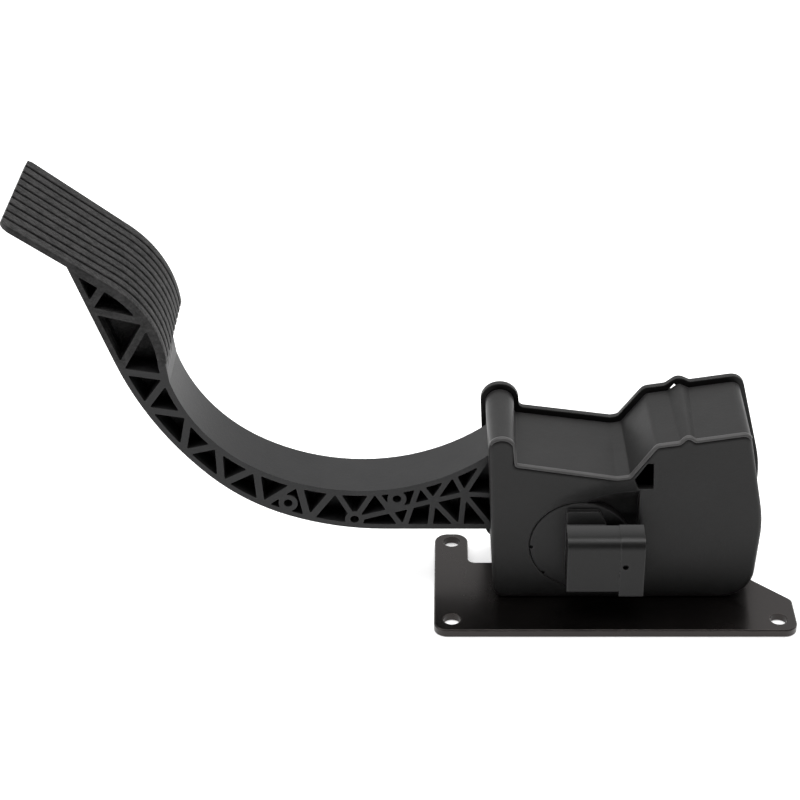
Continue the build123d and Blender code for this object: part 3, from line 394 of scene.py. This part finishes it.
def build_moulded_grain():
    """Fine spark-eroded grain with a slow mottle, as on moulded plastic."""
    sketch, given, out = start_group("moulded_grain", [("Scale", 1500.0), ("Mottle Scale", 40.0)],
                                     ["Height", "Mottle"])
    place = sketch.place()
    fine = sketch.noise(place, given["Scale"], detail=3.0, roughness=0.6)
    coarse = sketch.noise(place, sketch.times(given["Scale"], GRAIN_COARSER), detail=1.0)
    fine_part = sketch.times(fine, GRAIN_FINE_SHARE)
    coarse_part = sketch.times(coarse, 1.0 - GRAIN_FINE_SHARE)
    sketch.join(sketch.add(fine_part, coarse_part), out["Height"])
    slow = sketch.noise(place, given["Mottle Scale"], detail=4.0, roughness=0.6)
    sketch.join(sketch.rise(slow, NOISE_MIDDLE), out["Mottle"])
    return sketch.tree


def build_rubbed_edges():
    """Mask of the rounded-over edges, broken up so that the wear isn't even."""
    sketch, given, out = start_group("rubbed_edges", [("Width", 0.001), ("Break", 120.0)], ["Wear"])
    bevel = sketch.node("ShaderNodeBevel", samples=6)
    sketch.join(given["Width"], bevel.inputs["Radius"])
    true_normal = sketch.node("ShaderNodeNewGeometry").outputs["Normal"]
    edge = sketch.rise(sketch.dot(bevel.outputs["Normal"], true_normal), WEAR_TURN)
    patchy = sketch.remap(sketch.noise(sketch.place(), given["Break"], detail=3.0), *WEAR_PATCHES)
    sketch.join(sketch.math("MULTIPLY", edge, patchy, clamp=True), out["Wear"])
    return sketch.tree


def build_settled_dust():
    """Thin dust on faces that look up."""
    sketch, given, out = start_group("settled_dust", [("Amount", 0.2), ("Scale", 60.0)], ["Dust"])
    normal = sketch.split(sketch.node("ShaderNodeNewGeometry").outputs["Normal"])
    upward = sketch.rise(normal["Z"], DUST_TURN)
    cloud = sketch.noise(sketch.place(), given["Scale"], detail=5.0, roughness=0.65)
    patchy = sketch.remap(cloud, *DUST_PATCHES)
    sketch.join(sketch.times(upward, patchy, given["Amount"]), out["Dust"])
    return sketch.tree


def build_drawn_lines():
    """Long fine lines along one axis, as left by drawing, rolling or turning."""
    sketch, given, out = start_group("drawn_lines", [("Across", 3000.0), ("Along", 60.0)],
                                     ["Height", "Streak"])
    place = sketch.split(sketch.place())
    stretched = sketch.node("ShaderNodeCombineXYZ")
    for axis, scale in (("X", "Along"), ("Y", "Across"), ("Z", "Across")):
        sketch.join(sketch.times(place[axis], given[scale]), stretched.inputs[axis])
    lines = sketch.noise(stretched.outputs[0], 1.0, detail=4.0, roughness=0.6)
    sketch.join(lines, out["Height"])
    sketch.join(sketch.rise(lines, NOISE_MIDDLE), out["Streak"])
    return sketch.tree


GRAIN = build_moulded_grain()
EDGES = build_rubbed_edges()
DUST = build_settled_dust()
LINES = build_drawn_lines()


def use_group(sketch, tree, **values):
    """Places a shared group in a material with its own values."""
    made = sketch.node("ShaderNodeGroup", node_tree=tree)
    for label, value in values.items():
        made.inputs[label.replace("_", " ")].default_value = value
    return made.outputs


def bumped(sketch, shader, height, depth, rounding=EDGE_ROUNDING):
    """Bump from a height, over slightly rounded edges."""
    bump = sketch.node("ShaderNodeBump")
    bump.inputs["Strength"].default_value = 1.0
    bump.inputs["Distance"].default_value = depth
    sketch.join(height, bump.inputs["Height"])
    bevel = sketch.node("ShaderNodeBevel", samples=4)
    sketch.feed(bevel.inputs["Radius"], rounding)
    sketch.join(bevel.outputs["Normal"], bump.inputs["Normal"])
    sketch.join(bump.outputs["Normal"], shader["Normal"])


def reach(sketch, place, centre, spread):
    """Distance from a centre, in shares of a spread along X and Z."""
    squares = []
    for axis, middle, size in zip("XZ", centre, spread):
        share = sketch.math("DIVIDE", sketch.less(place[axis], middle), size)
        squares.append(sketch.times(share, share))
    return sketch.math("SQRT", sketch.add(*squares))


def hollow_finish(sketch):
    """Rounding radius round the upper edge of the hollow above the plug socket, and a mask of painted shade
    on the front face round that edge.
    """
    place = sketch.split(sketch.place())
    from_middle = reach(sketch, place, HOLLOW_CENTRE, HOLLOW_SPREAD)
    from_seat = reach(sketch, place, SENSOR_CENTRE, (SENSOR_RADIUS, SENSOR_RADIUS))
    near_edge = sketch.fall(sketch.math("ABSOLUTE", sketch.less(from_middle, 1.0)), HOLLOW_EDGE)
    clear_of_seat = sketch.rise(from_seat, SENSOR_CLEAR)
    left_part = sketch.fall(place["X"], HOLLOW_RIGHT)
    at_front = sketch.fall(place["Y"], HOLLOW_BACK)
    rounded = sketch.times(near_edge, clear_of_seat, left_part, at_front)
    rounding = sketch.between(rounded, HOUSING_ROUNDING, HOLLOW_ROUNDING)
    # Painted shade on the front face: strongest next to the hollow's upper edge, fading outward
    on_face = sketch.fall(place["Y"], FRONT_FACE)
    falling = sketch.remap(from_middle, *HOLLOW_FALL, HOLLOW_PAINTED_SHADE, 0.0)
    return rounding, sketch.times(falling, left_part, on_face)


def socket_top_highlight(sketch):
    """Mask of the plug socket's flat top, painted paler towards its back as a highlight."""
    place = sketch.split(sketch.place())
    on_top = sketch.rise(place["Z"], SOCKET_TOP)
    below_neck = sketch.fall(place["Z"], SOCKET_NECK)
    off_disc = sketch.fall(place["Y"], SOCKET_BACK)
    top_highlight = sketch.remap(place["Y"], *SOCKET_DEPTH, *SOCKET_HIGHLIGHT)
    return sketch.times(top_highlight, on_top, below_neck, off_disc)


def moulded_plastic(name, dark, light, worn, rough, grain, depth, wear, dust=0.02, local=None, top_highlight=None):
    """Moulded plastic: mottled colour, fine grain, paler rubbed edges that can also serve as a painted
    highlight, a little dust, and optional painted shade or a painted highlight on a top.
    """
    material, sketch, shader = start_material(name)
    grain_out = use_group(sketch, GRAIN, Scale=grain)
    edge_out = use_group(sketch, EDGES, Width=PLASTIC_WEAR_WIDTH)
    dust_out = use_group(sketch, DUST, Amount=dust)
    colour = sketch.blend(grain_out["Mottle"], dark, light)
    colour = sketch.blend(sketch.times(edge_out["Wear"], wear), colour, worn)
    colour = sketch.blend(dust_out["Dust"], colour, PLASTIC_DUST)
    if top_highlight:
        # Painted highlight: the top is blended towards the worn colour
        colour = sketch.blend(top_highlight(sketch), colour, worn)
    roughness = sketch.between(grain_out["Mottle"], rough - PLASTIC_UNEVEN, rough + PLASTIC_UNEVEN)
    roughness = sketch.less(roughness, sketch.times(edge_out["Wear"], PLASTIC_POLISH))
    rounding = EDGE_ROUNDING
    if local:
        rounding, painted_shade = local(sketch)
        # Painted shade: the colour is darkened towards black where the mask says
        colour = sketch.blend(painted_shade, colour, BLACK)
        roughness = sketch.math("ADD", roughness, sketch.times(painted_shade, HOLLOW_DULL), clamp=True)
    sketch.join(colour, shader["Base Color"])
    sketch.join(roughness, shader["Roughness"])
    shader["Specular IOR Level"].default_value = PLASTIC_GLOSS
    bumped(sketch, shader, grain_out["Height"], depth, rounding)
    return material


def drawn_metal(name, base, streak, rough, across, along, depth):
    """Bare metal with fine lines and rubbed edges."""
    material, sketch, shader = start_material(name)
    line_out = use_group(sketch, LINES, Across=across, Along=along)
    edge_out = use_group(sketch, EDGES, Width=METAL_WEAR_WIDTH)
    colour = sketch.blend(line_out["Streak"], base, streak)
    brighter = tuple(min(1.0, part * METAL_BRIGHTER) for part in streak)
    sketch.join(sketch.blend(edge_out["Wear"], colour, brighter), shader["Base Color"])
    roughness = sketch.between(line_out["Streak"], rough - METAL_UNEVEN, rough + METAL_UNEVEN)
    sketch.join(roughness, shader["Roughness"])
    shader["Metallic"].default_value = 1.0
    bumped(sketch, shader, line_out["Height"], depth, METAL_ROUNDING)
    return material


def coated_plate():
    """Rolled steel plate under a thin black coat, rubbed through to brown-grey on its edges."""
    material, sketch, shader = start_material("black_coated_plate")
    grain_out = use_group(sketch, GRAIN, Scale=900.0, Mottle_Scale=18.0)
    edge_out = use_group(sketch, EDGES, Width=0.0008, Break=200.0)
    dust_out = use_group(sketch, DUST, Amount=0.006, Scale=35.0)
    coat = sketch.blend(grain_out["Mottle"], *PLATE_COAT)
    worn = sketch.blend(sketch.times(edge_out["Wear"], PLATE_WEAR), coat, PLATE_BARE)
    dusty = sketch.blend(dust_out["Dust"], worn, PLATE_DUST)
    sketch.join(dusty, shader["Base Color"])
    sketch.join(sketch.between(grain_out["Mottle"], *PLATE_ROUGHNESS), shader["Roughness"])
    shader["Specular IOR Level"].default_value = PLATE_GLOSS
    shader["Specular Tint"].default_value = opaque(PLATE_TINT)
    bumped(sketch, shader, grain_out["Height"], depth=0.00001)
    return material


def tread_mask(sketch, place):
    """Mask of the pad's upper side."""
    normal = sketch.node("ShaderNodeTexCoord").outputs["Normal"]
    on_pad = sketch.rise(place["Z"], TREAD_BOTTOM)
    turned_up = sketch.rise(sketch.dot(normal, TREAD_FACING), TREAD_TURNED)
    return sketch.times(on_pad, turned_up)


def tread_ridges(sketch, place):
    """Bow of each ridge across the tread, with slightly uneven edges, and mask of the grooves between."""
    cloud = sketch.noise(sketch.place(), TREAD_WOBBLE_SCALE, detail=3.0)
    wobble = sketch.remap(cloud, *NOISE_MIDDLE, -TREAD_WOBBLE, TREAD_WOBBLE)
    sideways = sketch.add(sketch.less(place["Y"], TREAD_SIDE), wobble)
    width = sketch.remap(place["X"], TREAD_TIP, TREAD_HEEL, *TREAD_WIDTHS)
    ridge = sketch.times(sketch.math("DIVIDE", sideways, width), TREAD_RIDGES)
    from_crest = sketch.less(sketch.times(sketch.math("FRACT", ridge), 2.0), 1.0)
    bow = sketch.less(1.0, sketch.times(from_crest, from_crest))
    off_near_side = sketch.rise(ridge, TREAD_MARGIN)
    off_far_side = sketch.rise(sketch.less(TREAD_RIDGES, ridge), TREAD_MARGIN)
    low = sketch.remap(bow, *GROOVE_FADE, GROOVE_SHARE, 0.0)
    return bow, sketch.times(off_near_side, off_far_side, low)


def pedal_plastic():
    """The arm's plastic: smooth along the chords, with a coarse grain and a paler colour on the tread."""
    material, sketch, shader = start_material("pedal_arm_plastic")
    grain_out = use_group(sketch, GRAIN, Scale=1400.0, Mottle_Scale=30.0)
    tread_out = use_group(sketch, GRAIN, Scale=720.0, Mottle_Scale=160.0)
    edge_out = use_group(sketch, EDGES, Width=0.0008)
    dust_out = use_group(sketch, DUST, Amount=0.02, Scale=90.0)
    place = sketch.split(sketch.place())
    tread = tread_mask(sketch, place)
    bow, groove = tread_ridges(sketch, place)
    curl = sketch.rise(place["X"], TREAD_CURL)
    smooth = sketch.blend(grain_out["Mottle"], *ARM_COLOURS)
    grained = sketch.blend(sketch.rise(tread_out["Height"], TREAD_SPECKLE), *TREAD_COLOURS)
    # Grooves: painted paler on the flat to lift their shade, painted black on the curl as painted shade
    grained = sketch.blend(groove, grained, sketch.blend(curl, *GROOVE_PAINTED_LIGHT_AND_SHADE))
    colour = sketch.blend(tread, smooth, grained)
    colour = sketch.blend(sketch.times(edge_out["Wear"], ARM_WEAR), colour, ARM_WORN)
    colour = sketch.blend(dust_out["Dust"], colour, ARM_DUST)
    sketch.join(colour, shader["Base Color"])
    dull = sketch.add(sketch.times(groove, curl, GROOVE_DULL), TREAD_ROUGHNESS)
    sketch.join(sketch.between(tread, ARM_ROUGHNESS, dull), shader["Roughness"])
    shader["Specular IOR Level"].default_value = PLASTIC_GLOSS
    fine = sketch.times(grain_out["Height"], ARM_GRAIN)
    leather = sketch.times(tread_out["Height"], TREAD_GRAIN)
    bowed = sketch.times(bow, sketch.between(curl, *TREAD_BOWS))
    coarse = sketch.times(sketch.add(leather, bowed), tread)
    bumped(sketch, shader, sketch.add(fine, coarse), depth=0.0003)
    return material


def rubber(name):
    """Black moulded rubber with a bloom."""
    material, sketch, shader = start_material(name)
    grain_out = use_group(sketch, GRAIN, Scale=2200.0, Mottle_Scale=150.0)
    sketch.join(sketch.blend(grain_out["Mottle"], *RUBBER_COLOURS), shader["Base Color"])
    sketch.join(sketch.between(grain_out["Mottle"], *RUBBER_ROUGHNESS), shader["Roughness"])
    bumped(sketch, shader, grain_out["Height"], depth=0.00006)
    return material


def board_laminate():
    """Green solder mask over the weave of the laminate."""
    material, sketch, shader = start_material("board_laminate")
    line_out = use_group(sketch, LINES, Across=1800.0, Along=1800.0)
    grain_out = use_group(sketch, GRAIN, Scale=800.0, Mottle_Scale=300.0)
    sketch.join(sketch.blend(grain_out["Mottle"], *BOARD_COLOURS), shader["Base Color"])
    sketch.join(sketch.between(line_out["Streak"], *BOARD_ROUGHNESS), shader["Roughness"])
    bumped(sketch, shader, line_out["Height"], depth=0.00003)
    return material


def dress_nodes():
    """Gives every solid its finish, and returns those of the spring wire and the bead."""
    # The housing's paler edges are rubbed wear and, set this pale, also a painted highlight along its edges
    housing = moulded_plastic(
        "housing_plastic", dark=(0.0065, 0.0063, 0.0063), light=(0.0090, 0.0087, 0.0087),
        worn=(0.08, 0.08, 0.08), rough=0.46, grain=1700.0, depth=0.00008, wear=0.55, local=hollow_finish)
    sensor = moulded_plastic(
        "sensor_plastic", dark=(0.0050, 0.0049, 0.0049), light=(0.0075, 0.0073, 0.0073),
        worn=(0.10, 0.10, 0.10), rough=0.42, grain=1200.0, depth=0.00005, wear=0.28, top_highlight=socket_top_highlight)
    # The bead's plastic is the housing's made much paler, as a painted highlight along the upper front edge
    bead = moulded_plastic(
        "bead_highlight_plastic", dark=(0.045, 0.044, 0.044), light=(0.065, 0.063, 0.063),
        worn=(0.10, 0.10, 0.10), rough=0.40, grain=1700.0, depth=0.00004, wear=0.4)
    slider = moulded_plastic(
        "bush_plastic", dark=(0.50, 0.49, 0.45), light=(0.58, 0.57, 0.53),
        worn=(0.70, 0.69, 0.66), rough=0.45, grain=1500.0, depth=0.00004, wear=0.4)
    resin = moulded_plastic(
        "chip_resin", dark=(0.012, 0.012, 0.012), light=(0.022, 0.022, 0.022),
        worn=(0.06, 0.06, 0.06), rough=0.6, grain=5000.0, depth=0.00003, wear=0.3, dust=0.0)
    zinc = drawn_metal(
        "zinc_plated_steel", base=(0.46, 0.47, 0.48), streak=(0.60, 0.61, 0.62),
        rough=0.32, across=1500.0, along=1500.0, depth=0.00002)
    ground = drawn_metal(
        "ground_steel", base=(0.50, 0.50, 0.52), streak=(0.64, 0.64, 0.66),
        rough=0.22, across=400.0, along=3500.0, depth=0.00001)
    wire = drawn_metal(
        "spring_wire", base=(0.20, 0.20, 0.21), streak=(0.33, 0.33, 0.34),
        rough=0.34, across=1500.0, along=400.0, depth=0.00002)
    brass = drawn_metal(
        "turned_brass", base=(0.62, 0.43, 0.16), streak=(0.76, 0.56, 0.26),
        rough=0.30, across=2500.0, along=2500.0, depth=0.00002)
    tin = drawn_metal(
        "tinned_pins", base=(0.62, 0.60, 0.54), streak=(0.76, 0.74, 0.68),
        rough=0.26, across=3000.0, along=300.0, depth=0.00001)
    magnet = drawn_metal(
        "sintered_magnet", base=(0.12, 0.12, 0.13), streak=(0.20, 0.20, 0.21),
        rough=0.50, across=2500.0, along=2500.0, depth=0.00004)
    stops = rubber("stop_rubber")
    finishes = {
        "mounting_plate": coated_plate(),
        "front_housing": housing,
        "rear_cover": housing,
        "cover_screws": zinc,
        "plate_screws": zinc,
        "threaded_inserts": brass,
        "pedal_arm": pedal_plastic(),
        "pivot_shaft": ground,
        "front_bush": slider,
        "rear_bush": slider,
        "shaft_clip": wire,
        "outer_spring": wire,
        "inner_spring": wire,
        "upper_spring_seat": slider,
        "lower_spring_seat": slider,
        "idle_stop_pad": stops,
        "full_stop_pad": stops,
        "sensor_body": sensor,
        "sensor_rotor": slider,
        "rotor_magnet": magnet,
        "sensor_board": board_laminate(),
        "sensor_chips": resin,
        "connector_pins": tin,
        "sensor_seal": stops,
    }
    for name, finish in finishes.items():
        mesh = nodes[name].data
        mesh.materials.clear()
        mesh.materials.append(finish)
    return wire, bead


def swept_piece(name, rings, finish, mirrored=False):
    """Closed piece through rings of equally many points, smooth along its length and flat at its ends."""
    count = len(rings[0])
    corners = [corner for ring in rings for corner in ring]
    faces = []
    for low in range(0, len(corners) - count, count):
        high = low + count
        for side in range(count):
            after = (side + 1) % count
            faces.append((low + side, low + after, high + after, high + side))
    faces.append(tuple(reversed(range(count))))
    faces.append(tuple(range(len(corners) - count, len(corners))))
    if mirrored:
        faces = [face[::-1] for face in faces]
    mesh = bpy.data.meshes.new(name)
    mesh.from_pydata(corners, [], faces)
    mesh.validate()
    for polygon in mesh.polygons:
        polygon.use_smooth = len(polygon.vertices) == 4
    mesh.materials.append(finish)
    piece = bpy.data.objects.new(name, mesh)
    scene.collection.objects.link(piece)
    return piece


def upper_edge():
    """Points along the housing's upper front edge, found by dropping lines onto the solid."""
    housing = nodes["front_housing"]
    into = housing.matrix_world.inverted()
    down = into.to_3x3() @ Vector((0.0, 0.0, -1.0))
    left, right = cad_box[0][0], cad_box[1][0]
    points = []
    for step in range(int((right - left) / BEAD_STEP)):
        start = Vector((left + step * BEAD_STEP, BEAD_MIDDLE, cad_box[1][2]))
        found, place, normal, _ = housing.ray_cast(into @ start, down)
        if not found:
            continue
        place = housing.matrix_world @ place
        if place.z > BEAD_LOWEST and normal.z > BEAD_STEEPEST:
            points.append(place)
    return points


def edge_bead(finish):
    """Low half-round bead that follows the housing's upper front edge, rooted in the shell."""
    points = upper_edge()
    turns = [math.pi * step / BEAD_SIDES for step in range(BEAD_SIDES + 1)]
    section = [(math.cos(turn) * BEAD_HALF, math.sin(turn) * BEAD_RISE) for turn in turns]
    section += [(-BEAD_HALF, -BEAD_ROOT), (BEAD_HALF, -BEAD_ROOT)]
    across = Vector((0.0, 1.0, 0.0))
    rings = []
    for index, place in enumerate(points):
        along = points[min(index + 1, len(points) - 1)] - points[max(index - 1, 0)]
        outward = along.cross(across).normalized()
        outward = outward if outward.z > 0 else -outward
        rings.append([place + across * side + outward * rise for side, rise in section])
    bead = swept_piece("front_edge_bead", rings, finish)
    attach(bead, "base")


def coil_spring(name, node, radius, wire, turns, hand, finish):
    """Coil of round wire with its foot on the lever and its head in the chamber."""
    steps = turns * COIL_RINGS
    height = COIL_HIGH - COIL_LOW - wire - 2 * COIL_GAP
    start = COIL_LOW + COIL_GAP + wire / 2
    slope = math.atan2(height, 2 * math.pi * radius * turns)
    seat = Matrix.Translation(SPRING_FOOT) @ Matrix.Rotation(-SPRING_TILT, 4, "Y")
    rings = []
    for step in range(steps + 1):
        share = step / steps
        angle = hand * (2 * math.pi * turns * share + COIL_START)
        outward = Vector((math.cos(angle), math.sin(angle), 0.0))
        along = Vector((-hand * math.sin(angle), hand * math.cos(angle), 0.0)) * math.cos(slope)
        along.z = math.sin(slope)
        upward = along.cross(outward)
        centre = outward * radius + Vector((0.0, 0.0, start + height * share))
        ring = []
        for side in range(WIRE_SIDES):
            around = 2 * math.pi * side / WIRE_SIDES
            offset = (outward * math.cos(around) + upward * math.sin(around)) * (wire / 2)
            ring.append(seat @ (centre + offset))
        rings.append(ring)
    coil = swept_piece(name, rings, finish, mirrored=hand > 0)
    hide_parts(node)
    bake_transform(coil)


place_camera()
light_studio()
lay_floor()
spring_wire, bead_highlight_plastic = dress_nodes()
edge_bead(bead_highlight_plastic)
coil_spring(
    "outer_coil", "outer_spring", radius=9.6 * MM, wire=2.3 * MM, turns=7, hand=1, finish=spring_wire)
coil_spring(
    "inner_coil", "inner_spring", radius=6.2 * MM, wire=1.7 * MM, turns=9, hand=-1, finish=spring_wire)
